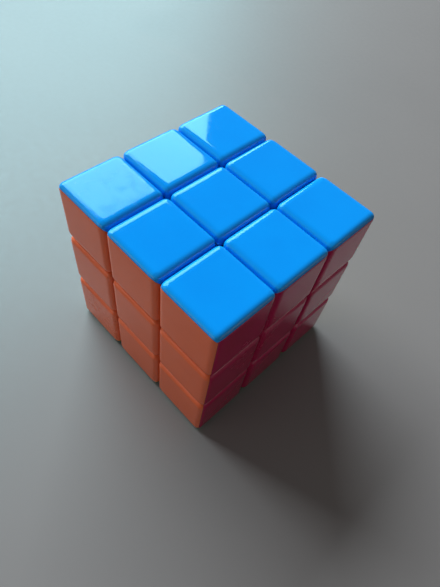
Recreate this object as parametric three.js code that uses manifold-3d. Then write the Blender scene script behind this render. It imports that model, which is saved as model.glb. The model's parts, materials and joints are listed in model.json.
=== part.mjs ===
// A stickerless 3x3x3 twisty puzzle, in millimetres, +Z up, standing on its bottom face.
//
// A core with six arms carries one screw, washer and spring for each face. Each spring presses
// a centre base inwards, and a cap snaps into the base over the screw. Twelve edges and eight
// corners hang on between them: every foot sits inside a spherical shell round the core, the
// edge feet under the centres and the corner feet under the edges.
//
// Every cut between two pieces is a plane square to an axis or a sphere about the middle, so
// any face can turn while the rest of the puzzle stands still.

import * as THREE from 'three';
import { mergeVertices } from 'three/addons/utils/BufferGeometryUtils.js';
import Module from 'manifold-3d';

const wasm = await Module();
wasm.setup();

// ---- Driving dimensions ----

const SIDE = 57;                   // across the whole cube
const GAP = 0.3;                   // clearance between neighbouring pieces
const RIM = 2;                     // rounding of the tile rims that face a groove
const OUTER_EDGE = 1.2;            // rounding of the cube's own edges, between two colours
const FOOT_PLANE = 4.75;           // cut planes between the feet, from the middle
const SHELL_INNER = 13.5;          // spherical shell that holds the feet
const SHELL_OUTER = 20;

const HUB_RADIUS = 8.5;
const HUB_DETAIL = 2;
const ARM_RADIUS = 3.4;
const ARM_END = 12.9;
const ARM_HOLE_RADIUS = 1.9;
const ARM_HOLE_BOTTOM = 4.8;

const STALK_FLOOR = 15.4;          // top of the base's floor, where the spring stands
const BORE_RADIUS = 3.4;
const BASE_TOP = 25.6;
const WELL_BOTTOM = 22.9;          // square well that takes the cap's skirt
const WELL_HALF = 6.3;
const SKIRT_HALF = 6;
const SKIRT_WALL = 1.2;
const SKIRT_BOTTOM = 23.4;

const SHANK_RADIUS = 1.6;
const SCREW_TIP = 5.4;
const TIP_RADIUS = 0.9;
const HEAD_RADIUS = 2.9;
const HEAD_BOTTOM = 22.7;
const HEAD_TOP = 24.6;
const HEAD_BEVEL = 0.5;
const SLOT_LENGTH = 3.6;
const SLOT_WIDTH = 0.7;
const SLOT_DEPTH = 1;

const WASHER_BOTTOM = 21.8;
const WASHER_TOP = 22.4;
const WASHER_OUTER = 2.95;

const WIRE_RADIUS = 0.34;
const WIRE_SIDES = 6;
const SPRING_RADIUS = 2.6;
const SPRING_TURNS = 4;
const SPRING_STEPS_PER_TURN = 10;

const PEG_RADIUS = 2;              // peg of a corner's foot, along the cube's diagonal
const PEG_START = 17;
const PEG_END = 26.5;

// ---- Worked out from them ----

const HALF = SIDE / 2;
const SLACK = GAP / 2;             // each piece stands back from a cut by this much
const LAYER_PLANE = SIDE / 6;
const TILE_HALF = LAYER_PLANE - SLACK;
const BLOCK_INNER = LAYER_PLANE + SLACK;
const FOOT_INNER = FOOT_PLANE + SLACK;
const FOOT_HALF = FOOT_PLANE - SLACK;
const FOOT_RADIUS_IN = SHELL_INNER + SLACK;
const FOOT_RADIUS_OUT = SHELL_OUTER - SLACK;
const BLOCK_RADIUS = SHELL_OUTER + SLACK;
const CAP_BOTTOM = BASE_TOP + GAP;

const ARC_SEGMENTS = 2;            // flats across each rounded rim
const SPHERE_DETAIL = 4;           // splits each side of an icosahedron's faces into five
const ROUND_SEGMENTS = 16;

// ---- Solids ----

const X_AXIS = new THREE.Vector3(1, 0, 0);
const Y_AXIS = new THREE.Vector3(0, 1, 0);
const Z_AXIS = new THREE.Vector3(0, 0, 1);

// A closed geometry as a solid that can be cut and joined.
function solid(geometry) {
  const plain = geometry.clone();
  plain.deleteAttribute('normal');
  plain.deleteAttribute('uv');
  const merged = mergeVertices(plain, 1e-5);
  const corners = merged.index.array;
  const kept = [];
  for (let i = 0; i < corners.length; i += 3) {
    const [a, b, c] = [corners[i], corners[i + 1], corners[i + 2]];
    if (a !== b && b !== c && c !== a) {
      kept.push(a, b, c);
    }
  }
  return new wasm.Manifold(new wasm.Mesh({
    numProp: 3,
    vertProperties: new Float32Array(merged.attributes.position.array),
    triVerts: new Uint32Array(kept),
  }));
}

function geometryOf(manifold) {
  const mesh = manifold.getMesh();
  const geometry = new THREE.BufferGeometry();
  geometry.setAttribute('position', new THREE.BufferAttribute(mesh.vertProperties, mesh.numProp));
  geometry.setIndex(new THREE.BufferAttribute(mesh.triVerts, 1));
  geometry.computeVertexNormals();
  return geometry;
}

function box(low, high) {
  const size = high.map((value, i) => value - low[i]);
  const middle = high.map((value, i) => (value + low[i]) / 2);
  return solid(new THREE.BoxGeometry(...size).translate(...middle));
}

function sphere(radius) {
  return solid(new THREE.IcosahedronGeometry(radius, SPHERE_DETAIL));
}

// A round bar along Z.
function bar(radius, from, to) {
  const geometry = new THREE.CylinderGeometry(radius, radius, to - from, ROUND_SEGMENTS);
  return solid(geometry.rotateX(Math.PI / 2).translate(0, 0, (from + to) / 2));
}

// A profile of [radius, height] points turned about Z.
function turned(profile) {
  const points = profile.map(([radius, height]) => new THREE.Vector2(radius, height));
  return solid(new THREE.LatheGeometry(points, ROUND_SEGMENTS).rotateX(Math.PI / 2));
}

// A rectangle whose corners are rounded, each by its own radius: the radii are given for
// (low, low), (high, low), (high, high) and (low, high).
function roundedRectangle([x0, y0], [x1, y1], radii) {
  const places = [[x0, y0, 1, 1], [x1, y0, -1, 1], [x1, y1, -1, -1], [x0, y1, 1, -1]];
  const points = places.flatMap(([x, y, inX, inY], turn) => {
    const radius = radii[turn];
    const start = Math.PI + turn * Math.PI / 2;
    const arc = new THREE.EllipseCurve(
      x + inX * radius, y + inY * radius, radius, radius, start, start + Math.PI / 2,
    );
    return radius === 0 ? [new THREE.Vector2(x, y)] : arc.getPoints(ARC_SEGMENTS);
  });
  return new THREE.Shape(points);
}

// An outline drawn in the first two of three axes and drawn out along the third.
function prism(shape, from, to, axis) {
  const options = { depth: to - from, bevelEnabled: false };
  const geometry = new THREE.ExtrudeGeometry(shape, options).translate(0, 0, from);
  const turn = {
    z: new THREE.Matrix4(),
    x: new THREE.Matrix4().makeBasis(Y_AXIS, Z_AXIS, X_AXIS),
    y: new THREE.Matrix4().makeBasis(Z_AXIS, X_AXIS, Y_AXIS),
  }[axis];
  return solid(geometry.applyMatrix4(turn));
}

// ---- The pieces, each at one place: the centre above, the edge above the front, the corner
// ---- above the front on the right

function coreSolid() {
  const arm = bar(ARM_RADIUS, 0, ARM_END);
  const hole = bar(ARM_HOLE_RADIUS, ARM_HOLE_BOTTOM, ARM_END + 1);
  const degreesToEachArm = [[0, 0, 0], [90, 0, 0], [180, 0, 0], [270, 0, 0], [0, 90, 0], [0, 270, 0]];
  let core = solid(new THREE.IcosahedronGeometry(HUB_RADIUS, HUB_DETAIL));
  for (const degrees of degreesToEachArm) {
    core = core.add(arm.rotate(degrees));
  }
  for (const degrees of degreesToEachArm) {
    core = core.subtract(hole.rotate(degrees));
  }
  return core;
}

function screwSolid() {
  const slot = (alongX, alongY) => box(
    [-alongX / 2, -alongY / 2, HEAD_TOP - SLOT_DEPTH],
    [alongX / 2, alongY / 2, HEAD_TOP + 1],
  );
  return turned([
    [0, SCREW_TIP],
    [TIP_RADIUS, SCREW_TIP],
    [SHANK_RADIUS, SCREW_TIP + 1],
    [SHANK_RADIUS, HEAD_BOTTOM],
    [HEAD_RADIUS, HEAD_BOTTOM],
    [HEAD_RADIUS, HEAD_TOP - HEAD_BEVEL],
    [HEAD_RADIUS - HEAD_BEVEL, HEAD_TOP],
    [0, HEAD_TOP],
  ]).subtract(slot(SLOT_LENGTH, SLOT_WIDTH)).subtract(slot(SLOT_WIDTH, SLOT_LENGTH));
}

function washerSolid() {
  const inner = SHANK_RADIUS + GAP;
  return turned([
    [inner, WASHER_BOTTOM],
    [WASHER_OUTER, WASHER_BOTTOM],
    [WASHER_OUTER, WASHER_TOP],
    [inner, WASHER_TOP],
    [inner, WASHER_BOTTOM],
  ]);
}

class Helix extends THREE.Curve {
  constructor(radius, from, to, turns) {
    super();
    Object.assign(this, { radius, from, to, turns });
  }

  getPoint(t, target = new THREE.Vector3()) {
    const angle = t * this.turns * 2 * Math.PI;
    const height = this.from + t * (this.to - this.from);
    return target.set(this.radius * Math.cos(angle), this.radius * Math.sin(angle), height);
  }
}

function springSolid() {
  const from = STALK_FLOOR + GAP + WIRE_RADIUS;
  const to = WASHER_BOTTOM - GAP - WIRE_RADIUS;
  const circle = new THREE.EllipseCurve(0, 0, WIRE_RADIUS, WIRE_RADIUS);
  const wire = new THREE.Shape(circle.getPoints(WIRE_SIDES).slice(1));
  return solid(new THREE.ExtrudeGeometry(wire, {
    extrudePath: new Helix(SPRING_RADIUS, from, to, SPRING_TURNS),
    steps: SPRING_TURNS * SPRING_STEPS_PER_TURN,
    bevelEnabled: false,
  }));
}

function centreBlock(from, to, topRim) {
  const across = roundedRectangle([-TILE_HALF, -TILE_HALF], [TILE_HALF, TILE_HALF],
    [RIM, RIM, RIM, RIM]);
  const side = roundedRectangle([-TILE_HALF, from], [TILE_HALF, to], [0, 0, topRim, topRim]);
  const otherSide = roundedRectangle([from, -TILE_HALF], [to, TILE_HALF], [0, topRim, topRim, 0]);
  return prism(across, from, to, 'z')
    .intersect(prism(side, -TILE_HALF, TILE_HALF, 'x'))
    .intersect(prism(otherSide, -TILE_HALF, TILE_HALF, 'y'));
}

function centreBaseSolid() {
  const stalk = box([-FOOT_HALF, -FOOT_HALF, LAYER_PLANE], [FOOT_HALF, FOOT_HALF, WELL_BOTTOM]);
  return centreBlock(LAYER_PLANE, BASE_TOP, 0)
    .subtract(sphere(BLOCK_RADIUS))
    .add(stalk.subtract(sphere(FOOT_RADIUS_IN)))
    .subtract(box([-WELL_HALF, -WELL_HALF, WELL_BOTTOM], [WELL_HALF, WELL_HALF, BASE_TOP + 1]))
    .subtract(bar(BORE_RADIUS, STALK_FLOOR, WELL_BOTTOM + 1))
    .subtract(bar(ARM_HOLE_RADIUS, 0, STALK_FLOOR + 1));
}

function centreCapSolid() {
  const inner = SKIRT_HALF - SKIRT_WALL;
  return centreBlock(CAP_BOTTOM, HALF, RIM)
    .add(box([-SKIRT_HALF, -SKIRT_HALF, SKIRT_BOTTOM], [SKIRT_HALF, SKIRT_HALF, CAP_BOTTOM + 1]))
    .subtract(box([-inner, -inner, SKIRT_BOTTOM - 1], [inner, inner, CAP_BOTTOM]));
}

function edgeSolid() {
  const across = [[-TILE_HALF, -HALF], [TILE_HALF, -BLOCK_INNER], [RIM, RIM, RIM, RIM]];
  const profile = [[-HALF, BLOCK_INNER], [-BLOCK_INNER, HALF], [RIM, 0, RIM, OUTER_EDGE]];
  const front = [[BLOCK_INNER, -TILE_HALF], [HALF, TILE_HALF], [RIM, RIM, RIM, RIM]];
  const neck = box([-FOOT_HALF, -SHELL_OUTER, BLOCK_INNER], [FOOT_HALF, -BLOCK_INNER, SHELL_OUTER]);
  const foot = box([-FOOT_HALF, -HALF, FOOT_INNER], [FOOT_HALF, -FOOT_INNER, HALF])
    .intersect(sphere(FOOT_RADIUS_OUT))
    .subtract(sphere(FOOT_RADIUS_IN));
  return prism(roundedRectangle(...across), BLOCK_INNER, HALF, 'z')
    .intersect(prism(roundedRectangle(...profile), -TILE_HALF, TILE_HALF, 'x'))
    .intersect(prism(roundedRectangle(...front), -HALF, -BLOCK_INNER, 'y'))
    .subtract(sphere(BLOCK_RADIUS))
    .add(neck)
    .add(foot);
}

// The peg's direction, from the middle of the cube to the corner above the front on the right.
function diagonalBar(radius, from, to) {
  const turn = new THREE.Quaternion().setFromUnitVectors(
    Z_AXIS,
    new THREE.Vector3(1, -1, 1).normalize(),
  );
  const geometry = new THREE.CylinderGeometry(radius, radius, to - from, ROUND_SEGMENTS);
  geometry.rotateX(Math.PI / 2).translate(0, 0, (from + to) / 2).applyQuaternion(turn);
  return solid(geometry);
}

function cornerSolid() {
  const [near, far] = [BLOCK_INNER, HALF];
  const across = roundedRectangle([near, -far], [far, -near], [RIM, OUTER_EDGE, RIM, 0]);
  const side = roundedRectangle([-far, near], [-near, far], [RIM, 0, RIM, OUTER_EDGE]);
  const front = roundedRectangle([near, near], [far, far], [0, RIM, OUTER_EDGE, RIM]);
  return prism(across, near, far, 'z')
    .intersect(prism(side, near, far, 'x'))
    .intersect(prism(front, -far, -near, 'y'))
    .subtract(sphere(BLOCK_RADIUS))
    .subtract(diagonalBar(PEG_RADIUS + GAP, PEG_START, PEG_END + GAP));
}

function cornerFootSolid() {
  return box([FOOT_INNER, -HALF, FOOT_INNER], [HALF, -FOOT_INNER, HALF])
    .intersect(sphere(FOOT_RADIUS_OUT))
    .subtract(sphere(FOOT_RADIUS_IN))
    .add(diagonalBar(PEG_RADIUS, PEG_START, PEG_END));
}

// ---- Faces and colours ----

const FACES = {
  up: { normal: new THREE.Vector3(0, 0, 1), colour: '#0b8df2' },
  down: { normal: new THREE.Vector3(0, 0, -1), colour: '#1fa64a' },
  front: { normal: new THREE.Vector3(0, -1, 0), colour: '#f07a45' },
  back: { normal: new THREE.Vector3(0, 1, 0), colour: '#f2cf1d' },
  right: { normal: new THREE.Vector3(1, 0, 0), colour: '#c0163a' },
  left: { normal: new THREE.Vector3(-1, 0, 0), colour: '#eceae4' },
};

const EDGES = [
  ['up', 'front'], ['up', 'back'], ['up', 'right'], ['up', 'left'],
  ['down', 'front'], ['down', 'back'], ['down', 'right'], ['down', 'left'],
  ['front', 'right'], ['front', 'left'], ['back', 'right'], ['back', 'left'],
];

const CORNERS = [
  ['up', 'front', 'right'], ['up', 'front', 'left'],
  ['up', 'back', 'right'], ['up', 'back', 'left'],
  ['down', 'front', 'right'], ['down', 'front', 'left'],
  ['down', 'back', 'right'], ['down', 'back', 'left'],
];

function glossPlastic(color) {
  return new THREE.MeshStandardMaterial({ color, roughness: 0.18, metalness: 0 });
}

function innerPlastic() {
  return new THREE.MeshStandardMaterial({ color: '#24262a', roughness: 0.45, metalness: 0 });
}

function steel() {
  return new THREE.MeshStandardMaterial({ color: '#b9bcc0', roughness: 0.3, metalness: 1 });
}

// The turn that takes up to the first face, front to the second and right to the third. Where
// the three would mirror the piece, front and right change places, which its shape allows.
function placeOn(up, front, right) {
  const z = FACES[up].normal;
  const y = FACES[front].normal.clone().negate();
  const x = new THREE.Vector3().crossVectors(y, z);
  if (right && x.dot(FACES[right].normal) < 0) {
    return placeOn(up, right, front);
  }
  return new THREE.Quaternion().setFromRotationMatrix(new THREE.Matrix4().makeBasis(x, y, z));
}

const puzzle = new THREE.Group();
puzzle.name = 'cube_puzzle';
puzzle.position.z = HALF;

function place(name, geometry, material, quaternion) {
  const mesh = new THREE.Mesh(geometry, material);
  mesh.name = name;
  mesh.quaternion.copy(quaternion);
  puzzle.add(mesh);
}

const shapes = {
  screw: geometryOf(screwSolid()),
  washer: geometryOf(washerSolid()),
  spring: geometryOf(springSolid()),
  base: geometryOf(centreBaseSolid()),
  cap: geometryOf(centreCapSolid()),
  edge: geometryOf(edgeSolid()),
  corner: geometryOf(cornerSolid()),
  cornerFoot: geometryOf(cornerFootSolid()),
};

place('core', geometryOf(coreSolid()), innerPlastic(), new THREE.Quaternion());

for (const face of Object.keys(FACES)) {
  const beside = face === 'up' || face === 'down' ? 'front' : 'up';
  const turn = placeOn(face, beside);
  place(`screw_${face}`, shapes.screw, steel(), turn);
  place(`washer_${face}`, shapes.washer, steel(), turn);
  place(`spring_${face}`, shapes.spring, steel(), turn);
  place(`centre_base_${face}`, shapes.base, glossPlastic(FACES[face].colour), turn);
  place(`centre_cap_${face}`, shapes.cap, glossPlastic(FACES[face].colour), turn);
}

for (const [first, second] of EDGES) {
  const name = `edge_${first}_${second}`;
  place(name, shapes.edge, glossPlastic(FACES[first].colour), placeOn(first, second));
}

for (const [first, second, third] of CORNERS) {
  const name = `${first}_${second}_${third}`;
  const turn = placeOn(first, second, third);
  place(`corner_${name}`, shapes.corner, glossPlastic(FACES[first].colour), turn);
  place(`corner_foot_${name}`, shapes.cornerFoot, innerPlastic(), turn);
}

export default puzzle;
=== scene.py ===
"""A stickerless 3x3x3 twisty puzzle on a pale floor, made piece by piece around its CAD model.

Shapes are worked out in millimetres from the middle of the cube. Each kind of piece is made
once at one place: the centre above, the edge above the front, the corner above the front on
the right. A turn then takes a copy to every other place.
"""

import json
import math

import bmesh
import bpy
from mathutils import Matrix, Vector

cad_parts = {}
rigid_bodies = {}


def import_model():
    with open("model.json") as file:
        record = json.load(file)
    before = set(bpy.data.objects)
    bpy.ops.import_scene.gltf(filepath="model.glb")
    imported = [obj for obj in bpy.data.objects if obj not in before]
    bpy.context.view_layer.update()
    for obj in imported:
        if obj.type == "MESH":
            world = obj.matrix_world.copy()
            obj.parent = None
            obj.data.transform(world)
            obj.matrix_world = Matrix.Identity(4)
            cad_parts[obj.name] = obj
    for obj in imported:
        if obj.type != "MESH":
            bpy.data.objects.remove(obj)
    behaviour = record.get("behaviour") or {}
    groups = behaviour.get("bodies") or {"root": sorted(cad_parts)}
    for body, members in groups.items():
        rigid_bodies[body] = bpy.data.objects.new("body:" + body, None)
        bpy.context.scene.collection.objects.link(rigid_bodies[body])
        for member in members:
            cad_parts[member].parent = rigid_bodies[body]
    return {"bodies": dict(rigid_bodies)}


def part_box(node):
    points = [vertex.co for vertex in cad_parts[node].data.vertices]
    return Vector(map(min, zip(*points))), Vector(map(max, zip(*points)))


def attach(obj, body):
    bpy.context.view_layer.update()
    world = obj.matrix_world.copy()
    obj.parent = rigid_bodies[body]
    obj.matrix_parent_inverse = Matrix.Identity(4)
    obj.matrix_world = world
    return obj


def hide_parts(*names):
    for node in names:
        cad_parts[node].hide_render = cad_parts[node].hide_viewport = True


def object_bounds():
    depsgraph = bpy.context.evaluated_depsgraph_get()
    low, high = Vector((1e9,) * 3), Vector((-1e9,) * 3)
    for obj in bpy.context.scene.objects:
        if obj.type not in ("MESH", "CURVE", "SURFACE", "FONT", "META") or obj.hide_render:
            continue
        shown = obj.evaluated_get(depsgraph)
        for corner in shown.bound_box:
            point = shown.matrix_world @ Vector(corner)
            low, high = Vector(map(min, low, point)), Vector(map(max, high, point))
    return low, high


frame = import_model()
CAD_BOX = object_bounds()

# ---- Sizes, in millimetres ----

MM = 0.001
HALF = (CAD_BOX[1].x - CAD_BOX[0].x) / 2 / MM
LAYER = HALF / 3


def reach(node):
    """How far a CAD node reaches from the middle of the cube: its low and high corners."""
    return [corner / MM - Vector((0, 0, HALF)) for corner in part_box(node)]


TILE_HALF = reach("centre_cap_up")[1].x
BASE_TOP = reach("centre_base_up")[1].z
FOOT_NEAR = reach("corner_foot_up_front_right")[0].z
SLACK = LAYER - TILE_HALF
NEAR = LAYER + SLACK

# How far the rims along the grooves and the cube's own edges are rounded, and how fully.
RIM = 2.2
OUTER_EDGE = 2.0
ROUNDNESS = 0.58
RIM_SEGMENTS = 10
SMALL_EDGE = 0.15

# Half the seam between two colours, the rounding beside it, and how far a colour wraps over
# the cube's edge: from the upper and lower faces onto the sides, and from side to side.
SEAM = 0.03
SEAM_EDGE = 0.1
WRAP_LEVEL = 1.0
WRAP_UPRIGHT = 0.4

# Slivers up to these lengths are taken away: before edges are rounded, once they are, and
# after the last cut of a piece.
SLIVER_BEFORE = 0.02
SLIVER_ROUNDED = 0.002
SLIVER_AFTER = 0.01

# Radii of the shell that holds the feet, and of the hollow in the blocks round it.
FEET_INNER = 13.65
FEET_OUTER = 19.85
BLOCKS_INNER = 20.15

# Half the width of an edge's foot and of a centre's stalk, and the easing of a foot's rims.
FOOT_HALF = 4.6
FOOT_EDGE = 0.45

# All heights are measured from the middle of the cube. Each row of numbers is a radius or half
# a side, and then the height or heights where the feature ends.
PEG = (2.0, 26.5)
SOCKET = (2.03, 17.0, 26.53)
HUB_RADIUS = 8.5
ARM = (3.4, 12.9)
ARM_FLARE = (1.6, 9.4)
ARM_HOLE = (1.9, 4.8)
WELL = (6.3, 22.9)
BORE = (3.4, 15.4, 23.5)
SCREW_HOLE = (1.9, 10.0, 16.0)
CAP_BOTTOM = 25.9
# The outer and inner halves of the skirt's side, and where it ends.
SKIRT = (6.0, 4.8, 23.4)

SHANK = 1.6
THREAD_PITCH = 0.7
THREAD_DEPTH = 0.22
THREAD_TOP = 13.0
SCREW_TIP = (0.9, 5.4)
HEAD = (2.9, 22.7, 24.6)
HEAD_DOME = 0.9
# The length, width and depth of each arm of the cross slot.
CROSS_SLOT = (3.6, 0.7, 1.0)
# The inner and outer radius, and where it ends.
WASHER = (1.9, 2.95, 21.8, 22.4)
SPRING_RADIUS = 2.6
WIRE = 0.34
SPRING_ENDS = (16.04, 21.16)
SPRING_TURNS = 4

# Flat sides that stand in for a full circle.
ROUND = 64

FACES = {
    "up": Vector((0, 0, 1)),
    "down": Vector((0, 0, -1)),
    "front": Vector((0, -1, 0)),
    "back": Vector((0, 1, 0)),
    "right": Vector((1, 0, 0)),
    "left": Vector((-1, 0, 0)),
}
COLOURS = {
    "up": "blue_plastic",
    "down": "green_plastic",
    "front": "orange_plastic",
    "back": "yellow_plastic",
    "right": "red_plastic",
    "left": "white_plastic",
}

# ---- Mesh tools ----


def mesh_from(bm, name="work"):
    mesh = bpy.data.meshes.new(name)
    bm.to_mesh(mesh)
    bm.free()
    return mesh


def bmesh_from(mesh):
    bm = bmesh.new()
    bm.from_mesh(mesh)
    return bm


def modified(mesh, kind, **settings):
    """What one modifier makes of a mesh."""
    holder = bpy.data.objects.new("work", mesh)
    bpy.context.scene.collection.objects.link(holder)
    modifier = holder.modifiers.new("work", kind)
    for name, value in settings.items():
        setattr(modifier, name, value)
    evaluated = holder.evaluated_get(bpy.context.evaluated_depsgraph_get())
    result = bpy.data.meshes.new_from_object(evaluated)
    bpy.data.objects.remove(holder)
    return result


def combined(mesh, tool, operation):
    """Two closed meshes joined (UNION), cut (DIFFERENCE) or crossed (INTERSECT)."""
    other = bpy.data.objects.new("tool", tool)
    bpy.context.scene.collection.objects.link(other)
    result = modified(mesh, "BOOLEAN", operation=operation, object=other, solver="MANIFOLD")
    bpy.data.objects.remove(other)
    return result


def box(low, high):
    bm = bmesh.new()
    middle = (Vector(low) + Vector(high)) / 2
    size = Vector(high) - Vector(low)
    bmesh.ops.create_cube(bm, matrix=Matrix.Translation(middle) @ Matrix.Diagonal((*size, 1)))
    return mesh_from(bm)


def sphere(radius):
    bm = bmesh.new()
    bmesh.ops.create_icosphere(bm, subdivisions=6, radius=radius)
    return mesh_from(bm)


def bar(radius, low, high, direction=(0, 0, 1)):
    """A round bar from low to high along a line through the middle of the cube."""
    bm = bmesh.new()
    bmesh.ops.create_cone(
        bm, segments=48, radius1=radius, radius2=radius, depth=high - low, cap_ends=True,
        matrix=Matrix.Translation((0, 0, (low + high) / 2)),
    )
    return towards(mesh_from(bm), direction)


def full_turn(steps):
    """Evenly spaced angles all the way round."""
    return [2 * math.pi * step / steps for step in range(steps)]


def quarter_turn(steps):
    """Evenly spaced angles from 0 to a right angle."""
    return [math.pi / 2 * step / steps for step in range(steps + 1)]


def surface(rows, close_rows):
    """A closed mesh from rings of points, one after the other. A flat face closes each end,
    or the last ring joins the first."""
    bm = bmesh.new()
    rings = [[bm.verts.new(point) for point in row] for row in rows]
    pairs = list(zip(rings, rings[1:]))
    if close_rows:
        pairs.append((rings[-1], rings[0]))
    for lower, upper in pairs:
        for i, start in enumerate(lower):
            j = (i + 1) % len(lower)
            bm.faces.new((start, lower[j], upper[j], upper[i]))
    if not close_rows:
        bm.faces.new(reversed(rings[0]))
        bm.faces.new(rings[-1])
    bmesh.ops.recalc_face_normals(bm, faces=bm.faces)
    return mesh_from(bm)


def turned(profile, closed=False):
    """A profile of (radius, height) points turned about Z."""
    angles = full_turn(ROUND)
    rows = [[(r * math.cos(a), r * math.sin(a), z) for a in angles] for r, z in profile]
    return surface(rows, closed)


def towards(mesh, direction):
    """A mesh turned so that what was up points in a direction."""
    mesh.transform(Vector((0, 0, 1)).rotation_difference(Vector(direction)).to_matrix().to_4x4())
    return mesh


def half_space(normal, offset):
    """A block far larger than the puzzle, on the side of a plane that its normal points to."""
    far = 4 * HALF
    return towards(box((-far, -far, offset), (far, far, far)), normal)


def cleaned(mesh, distance):
    """A mesh without the slivers shorter than a distance that cuts leave behind."""
    bm = bmesh_from(mesh)
    bmesh.ops.dissolve_degenerate(bm, dist=distance, edges=bm.edges)
    return mesh_from(bm)


def softened(mesh, width):
    """A mesh with its sharp edges rounded a little."""
    rounded = modified(
        cleaned(mesh, SLIVER_BEFORE), "BEVEL", width=width, segments=2, limit_method="ANGLE",
        angle_limit=math.radians(40), use_clamp_overlap=True,
    )
    return cleaned(rounded, SLIVER_ROUNDED)


def finished(mesh):
    """A mesh with smooth shading, whose flats stay flat beside its rounded rims."""
    mesh.shade_smooth()
    mesh.set_sharp_from_angle(angle=math.radians(35))
    return modified(mesh, "WEIGHTED_NORMAL", keep_sharp=True, mode="FACE_AREA_WITH_ANGLE")


# How far each edge of a block is rounded, by the kinds of the two sides that meet there.
ROUNDING = {
    frozenset(["tile"]): OUTER_EDGE,
    frozenset(["tile", "wall"]): RIM,
    frozenset(["wall"]): RIM,
    frozenset(["wall", "seam"]): SMALL_EDGE,
}


def rounded_block(low, high, kinds):
    """A block whose sides have kinds, such as tile or wall, given by direction."""
    bm = bmesh_from(box(low, high))
    weight = bm.edges.layers.float.new("bevel_weight_edge")
    bm.normal_update()
    for edge in bm.edges:
        pair = frozenset(
            next(kind for side, kind in kinds.items() if face.normal.dot(FACES[side]) > 0.9)
            for face in edge.link_faces
        )
        edge[weight] = ROUNDING.get(pair, 0) / RIM
    return modified(
        mesh_from(bm), "BEVEL", width=RIM, segments=RIM_SEGMENTS, limit_method="WEIGHT",
        profile=ROUNDNESS, use_clamp_overlap=False,
    )


# ---- The pieces, each at one place ----


def between(first, second, offset):
    """The side of the diagonal plane between two faces where the first one lies."""
    return half_space(FACES[first] - FACES[second], offset / math.sqrt(2))


def corner_tiles(first, second, third):
    """The three coloured mouldings of a corner, by the face that each shows. The first wraps
    over the cube's edge onto the other two, and the second onto the third."""
    kinds = {"up": "tile", "front": "tile", "right": "tile"}
    kinds.update({"down": "wall", "back": "wall", "left": "wall"})
    block = rounded_block((NEAR, -HALF, NEAR), (HALF, -NEAR, HALF), kinds)
    block = combined(block, sphere(BLOCKS_INNER), "DIFFERENCE")
    block = combined(block, bar(*SOCKET, (1, -1, 1)), "DIFFERENCE")
    inner, outer = SEAM - WRAP_LEVEL, -SEAM - WRAP_LEVEL
    inside = combined(between(first, second, inner), between(first, third, inner), "INTERSECT")
    outside = combined(between(first, second, outer), between(first, third, outer), "INTERSECT")
    rest = combined(block, outside, "DIFFERENCE")
    inner, outer = SEAM - WRAP_UPRIGHT, -SEAM - WRAP_UPRIGHT
    tiles = {
        first: combined(block, inside, "INTERSECT"),
        second: combined(rest, between(second, third, inner), "INTERSECT"),
        third: combined(rest, between(second, third, outer), "DIFFERENCE"),
    }
    return {side: finished(softened(mesh, SEAM_EDGE)) for side, mesh in tiles.items()}


def foot(axis, across, place):
    """A piece of the shell under the blocks, with eased rims and a peg that holds it in them.

    Rows of points go round the peg's axis: out along the foot's inner side, up its walls, and
    back in along its outer side to the peg. The place of a point comes from its direction off
    the axis, its share of the way to the walls, a radius, and how far in the rim is eased."""
    along = axis.cross(across)
    ways = [math.cos(a) * across + math.sin(a) * along for a in full_turn(ROUND)]
    easing = [
        (FOOT_EDGE * (1 - math.cos(a)), FOOT_EDGE * (1 - math.sin(a))) for a in quarter_turn(4)
    ]
    stops = [(share, FEET_INNER, FOOT_EDGE) for share in (0.1, 0.4, 0.7)]
    stops += [(1, FEET_INNER + rise, inset) for rise, inset in easing]
    stops += [(1, FEET_OUTER - rise, inset) for rise, inset in reversed(easing)]
    stops += [(share, FEET_OUTER, FOOT_EDGE) for share in (0.85, 0.7, 0.55)]
    rows = [[place(way, *stop) for way in ways] for stop in stops]
    radius, top = PEG
    fillet, tip = 0.2, 0.3
    for out, height in (
        (radius + fillet, math.sqrt(FEET_OUTER ** 2 - (radius + fillet) ** 2)),
        (radius, FEET_OUTER + fillet), (radius, top - tip), (radius - tip, top),
    ):
        rows.append([axis * height + way * out for way in ways])
    return surface(rows, False)


def out_to(start, way, radius):
    """Where a line from a start meets a sphere about the middle."""
    near = start.dot(way) / way.dot(way)
    rest = (start.dot(start) - radius ** 2) / way.dot(way)
    return start + way * (math.sqrt(near ** 2 - rest) - near)


def to_walls(*slopes):
    """How far out the walls are, from how fast a way nears each. Their corners are rounded."""
    fullness = 16
    return sum(abs(slope) ** fullness for slope in slopes) ** (-1 / fullness)


def corner_foot():
    """A foot with three flat walls, which face away from the corner's own three sides."""
    axis = Vector((1, -1, 1)).normalized()

    def place(way, share, radius, inset):
        slopes = [-math.sqrt(3) * way.dot(FACES[side]) for side in ("up", "front", "right")]
        out = share * to_walls(*(max(0, slope) for slope in slopes))
        start = (FOOT_NEAR + inset) * math.sqrt(3) * axis
        return out_to(start, axis + out * way, radius)

    return foot(axis, Vector((1, 1, 0)).normalized(), place)


def edge_tiles(wrap):
    """The two coloured mouldings of an edge, by the face that each shows."""
    kinds = {"up": "tile", "front": "tile"}
    kinds.update({"left": "wall", "right": "wall", "down": "wall", "back": "wall"})
    block = rounded_block((-TILE_HALF, -HALF, NEAR), (TILE_HALF, -NEAR, HALF), kinds)
    block = combined(block, sphere(BLOCKS_INNER), "DIFFERENCE")
    block = combined(block, bar(*SOCKET, (0, -1, 1)), "DIFFERENCE")
    tiles = {
        "up": combined(block, between("up", "front", SEAM - wrap), "INTERSECT"),
        "front": combined(block, between("up", "front", -SEAM - wrap), "DIFFERENCE"),
    }
    return {side: finished(softened(mesh, SEAM_EDGE)) for side, mesh in tiles.items()}


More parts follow.
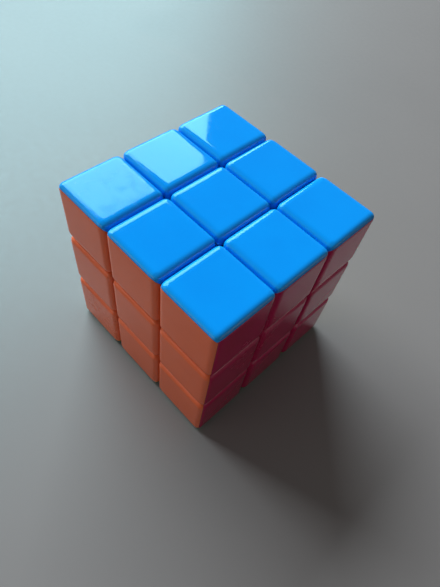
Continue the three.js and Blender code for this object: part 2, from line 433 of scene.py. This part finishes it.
def edge_foot():
    """A foot with four flat walls, two of them parallel to the faces that the edge shows."""
    axis = Vector((0, -1, 1)).normalized()
    across = Vector((1, 0, 0))
    along = axis.cross(across)

    def place(way, share, radius, inset):
        side, rise = way.dot(across), way.dot(along)
        out = share * to_walls(side, rise)
        start = (FOOT_NEAR + inset) * math.sqrt(2) * axis
        start += out * side * (FOOT_HALF - inset) * across
        return out_to(start, axis + out * rise * along, radius)

    return foot(axis, across, place)


def centre_block(low, high, top):
    """The square block of a centre, with its upper rims rounded where it shows."""
    kinds = {"up": top, "down": "seam"}
    kinds.update({side: "wall" for side in ("front", "back", "left", "right")})
    return rounded_block((-TILE_HALF, -TILE_HALF, low), (TILE_HALF, TILE_HALF, high), kinds)


def centre_base():
    """A block with a square well for the cap's skirt, on a stalk with a bore for the spring."""
    half, bottom = WELL
    base = combined(centre_block(LAYER, BASE_TOP, "seam"), sphere(BLOCKS_INNER), "DIFFERENCE")
    stalk = box((-FOOT_HALF, -FOOT_HALF, LAYER), (FOOT_HALF, FOOT_HALF, bottom))
    base = combined(base, combined(stalk, sphere(FEET_INNER), "DIFFERENCE"), "UNION")
    base = combined(base, box((-half, -half, bottom), (half, half, HALF)), "DIFFERENCE")
    base = combined(base, bar(*BORE), "DIFFERENCE")
    base = combined(base, bar(*SCREW_HOLE), "DIFFERENCE")
    return softened(base, SMALL_EDGE)


def centre_cap():
    """A tile with a square skirt under it."""
    outer, inner, bottom = SKIRT
    cap = centre_block(CAP_BOTTOM, HALF, "tile")
    top = CAP_BOTTOM + 1
    cap = combined(cap, box((-outer, -outer, bottom), (outer, outer, top)), "UNION")
    hollow = box((-inner, -inner, bottom - 1), (inner, inner, CAP_BOTTOM))
    return softened(combined(cap, hollow, "DIFFERENCE"), SMALL_EDGE)


def core():
    """A ball with six arms that flare where they leave it, each with a countersunk hole."""
    radius, end = ARM
    flare, flare_top = ARM_FLARE
    hole, bottom = ARM_HOLE
    ease = 0.4
    arm = [(radius + flare, 0)]
    arm += [
        (radius + flare - flare * math.sin(a), flare_top - flare * math.cos(a))
        for a in quarter_turn(6)
    ]
    arm += [(radius, end - ease), (radius - ease, end)]
    pilot = [(hole, bottom), (hole, end - ease), (hole + 2 * ease, end + ease)]
    hub = sphere(HUB_RADIUS)
    for direction in FACES.values():
        hub = combined(hub, towards(turned(arm), direction), "UNION")
    for direction in FACES.values():
        hub = combined(hub, towards(turned(pilot), direction), "DIFFERENCE")
    return cleaned(hub, SLIVER_AFTER)


def screw():
    """A screw with a domed head, a cross slot and a rolled thread."""
    radius, under, top = HEAD
    tip_radius, tip = SCREW_TIP
    ease, slot_ease = 0.2, 0.06
    head = [(SHANK, under), (radius - ease, under), (radius, under + ease)]
    head += [
        (radius - HEAD_DOME + HEAD_DOME * math.cos(a), top - HEAD_DOME + HEAD_DOME * math.sin(a))
        for a in quarter_turn(6)
    ]
    root = SHANK - THREAD_DEPTH
    shank = [(tip_radius, tip), (root, tip + 1), (root, THREAD_TOP), (SHANK, THREAD_TOP + 0.5)]
    plain = turned([*shank, *head])
    length, width, depth = CROSS_SLOT
    for along, across in ((length, width), (width, length)):
        slot = box((-along / 2, -across / 2, top - depth), (along / 2, across / 2, top + 1))
        plain = combined(plain, slot, "DIFFERENCE")
    return cleaned(combined(softened(plain, slot_ease), thread(), "UNION"), SLIVER_AFTER)


def thread():
    """A ridge that winds up the lower part of the shank, out of it in the first turn and back
    into it in the last."""
    per_turn = 32
    start = SCREW_TIP[1] + 1.1
    count = int((THREAD_TOP - SCREW_TIP[1] - 1.6) / THREAD_PITCH * per_turn)
    root = SHANK - THREAD_DEPTH - 0.05
    foot_half, crest_half = 0.28, 0.06
    rows = []
    for step in range(count + 1):
        angle = 2 * math.pi * step / per_turn
        height = start + THREAD_PITCH * step / per_turn
        fade = min(1, step / per_turn, (count - step) / per_turn)
        crest = root + 0.06 + THREAD_DEPTH * fade
        section = [
            (root, -foot_half), (crest, -crest_half), (crest, crest_half), (root, foot_half),
            (root - 0.4, 0),
        ]
        rows.append([
            (r * math.cos(angle), r * math.sin(angle), height + z) for r, z in section
        ])
    return surface(rows, False)


def washer():
    """A flat ring with eased edges."""
    inner, outer, low, high = WASHER
    ease = 0.1
    return turned([
        (inner + ease, low), (outer - ease, low), (outer, low + ease), (outer, high - ease),
        (outer - ease, high), (inner + ease, high), (inner, high - ease), (inner, low + ease),
    ], closed=True)


def spring():
    """Round wire wound in a helix."""
    steps_per_turn, sides = 40, 12
    low, high = SPRING_ENDS
    count = SPRING_TURNS * steps_per_turn
    rows = []
    for step in range(count + 1):
        angle = 2 * math.pi * step / steps_per_turn
        out = Vector((math.cos(angle), math.sin(angle), 0))
        centre = out * SPRING_RADIUS + Vector((0, 0, low + (high - low) * step / count))
        rows.append([
            centre + WIRE * (math.cos(a) * out + math.sin(a) * Vector((0, 0, 1)))
            for a in full_turn(sides)
        ])
    return surface(rows, False)


# ---- Materials ----

ROOM_COLOUR = (1.0, 0.93, 0.87, 1)
ROOM_LIGHT = 0.15

# Where fingers have left marks, in millimetres from the middle of the cube's underside, the
# distances from there between which a mark fades, and how much of one is everywhere.
TOUCHED = [(-19, -19, 57), (28, -12, 36), (14, 28, 30), (-28, 16, 22), (-16, -28, 12)]
MARK_FADE = (8.0, 13.0)
MARK_ELSEWHERE = 0.12


class Shader:
    """A new material's nodes, laid out by short calls."""

    def __init__(self, name):
        self.material = bpy.data.materials.new(name)
        self.material.use_nodes = True
        self.nodes = self.material.node_tree.nodes
        self.links = self.material.node_tree.links
        self.surface = self.nodes["Principled BSDF"]

    def add(self, kind, inputs=None, **settings):
        node = self.nodes.new(kind)
        for name, value in settings.items():
            setattr(node, name, value)
        for name, value in (inputs or {}).items():
            self.put(node, name, value)
        return node

    def put(self, node, name, value):
        """Links a socket to an input, or sets the input to a constant."""
        if isinstance(value, bpy.types.NodeSocket):
            self.links.new(value, node.inputs[name])
        else:
            node.inputs[name].default_value = value

    def place(self):
        """Places on the piece, in millimetres."""
        place = self.add("ShaderNodeTexCoord").outputs["Object"]
        scaled = self.add("ShaderNodeVectorMath", {0: place}, operation="SCALE")
        scaled.inputs["Scale"].default_value = 1 / MM
        return scaled.outputs[0]

    def noise(self, place, scale, detail=2.0, roughness=0.5, distortion=0.0):
        return self.add("ShaderNodeTexNoise", {
            "Vector": place, "Scale": scale, "Detail": detail, "Roughness": roughness,
            "Distortion": distortion,
        }).outputs["Fac"]

    def rise(self, value, start, end):
        """From 0 where a value is at the start to 1 where it is at the end, smoothly."""
        return self.add("ShaderNodeMapRange", {
            "Value": value, "From Min": start, "From Max": end, "To Min": 0.0, "To Max": 1.0,
        }, interpolation_type="SMOOTHSTEP").outputs[0]

    def math(self, operation, *values):
        return self.add("ShaderNodeMath", dict(enumerate(values)), operation=operation).outputs[0]

    def mix(self, share, first, second):
        """A mix of two colours. The node has sockets for numbers and places before those."""
        node = self.add("ShaderNodeMix", data_type="RGBA")
        for index, value in ((0, share), (6, first), (7, second)):
            self.put(node, index, value)
        return node.outputs[2]

    def bump(self, height, strength, distance, normal=None):
        node = self.add("ShaderNodeBump", {
            "Height": height, "Strength": strength, "Distance": distance,
        })
        if normal:
            self.put(node, "Normal", normal)
        return node.outputs["Normal"]


def rim_share(shader):
    """From 0 on a piece's flats to 1 halfway round its rims and edges."""
    normal = shader.add("ShaderNodeTexCoord").outputs["Normal"]
    size = shader.add("ShaderNodeVectorMath", {0: normal}, operation="ABSOLUTE").outputs[0]
    parts = shader.add("ShaderNodeSeparateXYZ", {0: size}).outputs
    longest = shader.math("MAXIMUM", shader.math("MAXIMUM", parts[0], parts[1]), parts[2])
    return shader.rise(longest, 0.98, 0.75)


def touched(shader, place):
    """From almost 0 to 1 where fingers have held the puzzle."""
    near, far = MARK_FADE
    share = MARK_ELSEWHERE
    for spot in TOUCHED:
        distance = shader.add(
            "ShaderNodeVectorMath", {0: place, 1: spot}, operation="DISTANCE",
        ).outputs["Value"]
        share = shader.math("MAXIMUM", share, shader.rise(distance, far, near))
    return share


def gloss_plastic(name, colour, deep, rim_wear_and_highlight):
    """Moulded gloss plastic: faint clouds in its colour, softer rims painted paler, partly for
    rubbed wear and partly as a painted highlight where they catch the light, a thin film and
    smears where it has been held, and a surface that is not quite flat."""
    shader = Shader(name)
    place = shader.place()
    rim = rim_share(shader)
    cloud = shader.noise(place, 0.06, detail=3.0)
    base = shader.mix(shader.rise(cloud, 0.35, 0.7), colour, deep)
    # Painted highlight: the rims are mixed toward a paler colour, partly rubbed wear and partly
    # standing in for the light that the rims catch.
    base = shader.mix(shader.math("MULTIPLY", rim, 0.35), base, rim_wear_and_highlight)
    shader.put(shader.surface, "Base Color", base)
    film = touched(shader, place)
    smudge = shader.noise(place, 0.33, detail=5.0, roughness=0.6, distortion=0.8)
    smear = shader.math("MULTIPLY", film, shader.rise(smudge, 0.47, 0.62))
    smear = shader.math("MULTIPLY", smear, shader.math("SUBTRACT", 1.0, rim))
    grain = shader.noise(place, 2.5, detail=3.0)
    rough = 0.03
    for layer, amount in ((smear, 0.23), (film, 0.05), (grain, 0.01), (rim, 0.19)):
        rough = shader.math("MULTIPLY_ADD", layer, amount, rough)
    shader.put(shader.surface, "Roughness", rough)
    wave = shader.noise(place, 0.12, detail=1.0)
    peel = shader.noise(place, 1.6, detail=2.0)
    normal = shader.bump(wave, 0.1, 0.00002)
    normal = shader.bump(peel, 0.02, 0.000004, normal)
    shader.put(shader.surface, "Normal", normal)
    shader.surface.inputs["IOR"].default_value = 1.52
    shader.surface.inputs["Specular IOR Level"].default_value = 0.3
    return shader.material


def inner_plastic():
    """Satin charcoal plastic with a fine moulded grain and traces of grease."""
    shader = Shader("inner_plastic")
    place = shader.place()
    grease = shader.rise(shader.noise(place, 0.25, detail=3.0, distortion=0.8), 0.45, 0.65)
    grain = shader.noise(place, 7.0, detail=3.0)
    colour = shader.mix(grain, (0.013, 0.014, 0.017, 1), (0.024, 0.025, 0.029, 1))
    shader.put(shader.surface, "Base Color", colour)
    rough = shader.math("MULTIPLY_ADD", grease, -0.22, 0.48)
    shader.put(shader.surface, "Roughness", shader.math("MULTIPLY_ADD", grain, 0.06, rough))
    shader.put(shader.surface, "Normal", shader.bump(grain, 0.15, 0.00003))
    return shader.material


def steel():
    """Zinc-plated steel with a fine grain and patches of tarnish."""
    shader = Shader("steel")
    place = shader.place()
    marks = shader.noise(place, 9.0, detail=4.0, roughness=0.6)
    tarnish = shader.noise(place, 0.9, detail=3.0)
    colour = shader.mix(tarnish, (0.5, 0.5, 0.5, 1), (0.66, 0.67, 0.68, 1))
    shader.put(shader.surface, "Base Color", colour)
    shader.put(shader.surface, "Roughness", shader.math("MULTIPLY_ADD", marks, 0.2, 0.2))
    shader.put(shader.surface, "Normal", shader.bump(marks, 0.1, 0.00002))
    shader.surface.inputs["Metallic"].default_value = 1
    return shader.material


def floor_material():
    """A plain pale floor that fades into the light of the room far from the puzzle."""
    shader = Shader("pale_floor")
    place = shader.place()
    cloud = shader.noise(place, 0.012, detail=4.0)
    colour = shader.mix(cloud, (0.2, 0.2, 0.205, 1), (0.23, 0.23, 0.235, 1))
    shader.put(shader.surface, "Base Color", colour)
    fleck = shader.noise(place, 0.4, detail=3.0)
    shader.put(shader.surface, "Roughness", shader.math("MULTIPLY_ADD", fleck, 0.15, 0.45))
    shader.put(shader.surface, "Normal", shader.bump(fleck, 0.05, 0.0001))
    distance = shader.add("ShaderNodeVectorMath", {0: place}, operation="LENGTH").outputs["Value"]
    far = shader.rise(distance, 300.0, 1800.0)
    room = shader.add("ShaderNodeEmission", {"Color": ROOM_COLOUR, "Strength": ROOM_LIGHT})
    faded = shader.add("ShaderNodeMixShader", {
        0: far, 1: shader.surface.outputs["BSDF"], 2: room.outputs["Emission"],
    })
    shader.put(shader.nodes["Material Output"], "Surface", faded.outputs["Shader"])
    return shader.material


# Each colour: the plastic itself, the deeper tone in its clouds, and its paler rims, partly
# rubbed wear and partly a painted highlight.
PLASTICS = {
    "blue_plastic": ((0.0, 0.295, 0.9, 1), (0.0, 0.277, 0.87, 1), (0.005, 0.42, 0.88, 1)),
    "green_plastic": ((0.01, 0.37, 0.06, 1), (0.01, 0.34, 0.055, 1), (0.03, 0.43, 0.1, 1)),
    "orange_plastic": ((0.82, 0.151, 0.045, 1), (0.78, 0.138, 0.039, 1), (0.84, 0.2, 0.09, 1)),
    "yellow_plastic": ((0.75, 0.49, 0.01, 1), (0.72, 0.46, 0.01, 1), (0.78, 0.54, 0.05, 1)),
    "red_plastic": ((0.5, 0.0, 0.085, 1), (0.46, 0.0, 0.066, 1), (0.53, 0.004, 0.09, 1)),
    "white_plastic": ((0.5, 0.5, 0.49, 1), (0.475, 0.475, 0.465, 1), (0.54, 0.54, 0.53, 1)),
}
MATERIALS = {name: gloss_plastic(name, *tones) for name, tones in PLASTICS.items()}
MATERIALS["inner_plastic"] = inner_plastic()
MATERIALS["steel"] = steel()

# ---- Placing ----


def turn_to(up, front, right=None):
    """The turn that takes up, front and right to these faces."""
    z = FACES[up]
    y = -FACES[front]
    x = y.cross(z)
    if right and x.dot(FACES[right]) < 0:
        return turn_to(up, right, front)
    return Matrix((x, y, z)).transposed()


def face_towards(direction):
    return next(name for name, normal in FACES.items() if normal.dot(direction) > 0.9)


def add_piece(name, mesh, turn, slot, body, *nodes):
    """A copy of a mesh, turned to its place, riding on a body and standing for CAD nodes."""
    copy = mesh.copy()
    copy.name = name
    lift = Matrix.Translation((0, 0, HALF * MM))
    copy.transform(lift @ turn.to_4x4() @ Matrix.Scale(MM, 4))
    copy.materials.clear()
    copy.materials.append(MATERIALS[slot])
    piece = bpy.data.objects.new(name, copy)
    bpy.context.scene.collection.objects.link(piece)
    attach(piece, body)
    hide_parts(*nodes)


def add_tiles(tiles, name, turn, *nodes):
    for side, mesh in tiles.items():
        face = face_towards(turn @ FACES[side])
        add_piece(f"{name}_tile_{face}", mesh, turn, COLOURS[face], name, *nodes)


def add_core_and_centres():
    add_piece("core_hub", finished(core()), Matrix.Identity(3), "inner_plastic", "core", "core")
    steel_parts = {"screw": screw(), "washer": washer(), "spring": spring()}
    steel_parts = {part: finished(mesh) for part, mesh in steel_parts.items()}
    base, cap = finished(centre_base()), finished(centre_cap())
    for face in FACES:
        turn = turn_to(face, "front" if face in ("up", "down") else "up")
        for part, mesh in steel_parts.items():
            add_piece(f"steel_{part}_{face}", mesh, turn, "steel", "core", f"{part}_{face}")
        add_piece(f"base_{face}", base, turn, COLOURS[face], f"centre_{face}",
                  f"centre_base_{face}")
        add_piece(f"cap_tile_{face}", cap, turn, COLOURS[face], f"cap_{face}",
                  f"centre_cap_{face}")


def add_edges():
    level, upright = edge_tiles(WRAP_LEVEL), edge_tiles(WRAP_UPRIGHT)
    foot = finished(edge_foot())
    for name in [body for body in frame["bodies"] if body.startswith("edge_")]:
        places = name.split("_")[1:]
        turn = turn_to(*places)
        add_tiles(level if places[0] in ("up", "down") else upright, name, turn, name)
        add_piece(f"{name}_foot", foot, turn, "inner_plastic", name, name)


def add_corners():
    one_hand = corner_tiles("up", "front", "right")
    other_hand = corner_tiles("up", "right", "front")
    foot = finished(corner_foot())
    for name in [body for body in frame["bodies"] if body.startswith("corner_")]:
        places = name.split("_")[1:]
        turn = turn_to(*places)
        straight = face_towards(turn @ FACES["front"]) == places[1]
        add_tiles(one_hand if straight else other_hand, name, turn, name)
        node = "_".join(["corner", "foot", *places])
        add_piece(f"{name}_foot", foot, turn, "inner_plastic", name, node)


# ---- Floor, light and camera ----


def add_floor():
    """A flat floor, 4 m to each side and a hair below the puzzle."""
    bm = bmesh.new()
    bmesh.ops.create_grid(bm, x_segments=1, y_segments=1, size=4.0)
    mesh = mesh_from(bm, "floor")
    mesh.materials.append(floor_material())
    floor = bpy.data.objects.new("floor", mesh)
    bpy.context.scene.collection.objects.link(floor)
    floor.location.z = CAD_BOX[0].z - 0.0001


def add_soft_light(name, place, size, strength, colour):
    """A soft rectangle of light, of a strength for each square metre. It isn't seen itself."""
    light = bpy.data.lights.new(name, "AREA")
    light.shape = "RECTANGLE"
    light.size, light.size_y = size
    light.energy = strength * size[0] * size[1]
    light.color = colour
    lamp = bpy.data.objects.new(name, light)
    bpy.context.scene.collection.objects.link(lamp)
    lamp.location = place
    lamp.visible_camera = False
    return lamp


def add_lights():
    """Daylight from a window on the left, whose reflection is bluer, a weak fill in front, and
    two strips that only show as reflections in the gloss."""
    size, strength = (1.346, 0.881), 34.0
    daylight = add_soft_light("daylight", (-0.96, 0.323, 0.79), size, strength, (1, 1, 1))
    daylight.visible_glossy = False
    window = add_soft_light("window", (-0.946, 0.323, 0.79), size, strength, (0.37, 0.89, 1))
    window.visible_diffuse = False
    for lamp in (daylight, window):
        lamp.rotation_euler = (math.radians(90), 0, math.radians(-90))
    fill = add_soft_light("fill", (-0.5, -1.6, 0.6), (1.6, 1.0), 1.9, (1, 0.88, 0.8))
    fill.visible_glossy = False
    strips = [
        add_soft_light(name, place, (1.4, 0.16), 12.0, (1, 0.97, 0.94))
        for name, place in (
            ("strip_front", (-0.55, -1.4, 0.35)), ("strip_right", (1.4, 0.45, 0.45)),
        )
    ]
    for lamp in strips:
        lamp.visible_diffuse = False
    for lamp in (fill, *strips):
        away = Vector(lamp.location) - Vector((0, 0, HALF * MM))
        lamp.rotation_euler = away.to_track_quat("Z", "Y").to_euler()


def add_camera():
    """A camera at the photo's angle, in degrees and metres."""
    azimuth, elevation, roll = (math.radians(angle) for angle in (36.75, 55.48, 11.38))
    distance = 0.1336
    aim = Vector((0.00856, -0.00428, HALF * MM))
    back = Vector((
        math.sin(azimuth) * math.cos(elevation),
        -math.cos(azimuth) * math.cos(elevation),
        math.sin(elevation),
    ))
    right = (-back).cross(Vector((0, 0, 1))).normalized()
    up = right.cross(-back)
    rolled_right = right * math.cos(roll) + up * math.sin(roll)
    rolled_up = up * math.cos(roll) - right * math.sin(roll)
    camera = bpy.data.objects.new("camera", bpy.data.cameras.new("camera"))
    bpy.context.scene.collection.objects.link(camera)
    camera.data.lens = 28.49
    camera.data.clip_start = 0.005
    turn = Matrix((rolled_right, rolled_up, back)).transposed()
    camera.matrix_world = Matrix.Translation(aim + back * distance) @ turn.to_4x4()
    bpy.context.scene.camera = camera


def add_world():
    """The even light of the room."""
    world = bpy.data.worlds.new("studio")
    world.use_nodes = True
    background = world.node_tree.nodes["Background"]
    background.inputs["Color"].default_value = ROOM_COLOUR
    background.inputs["Strength"].default_value = ROOM_LIGHT
    bpy.context.scene.world = world
    bpy.context.scene.view_settings.view_transform = "Standard"


add_camera()
add_core_and_centres()
add_edges()
add_corners()
add_floor()
add_lights()
add_world()
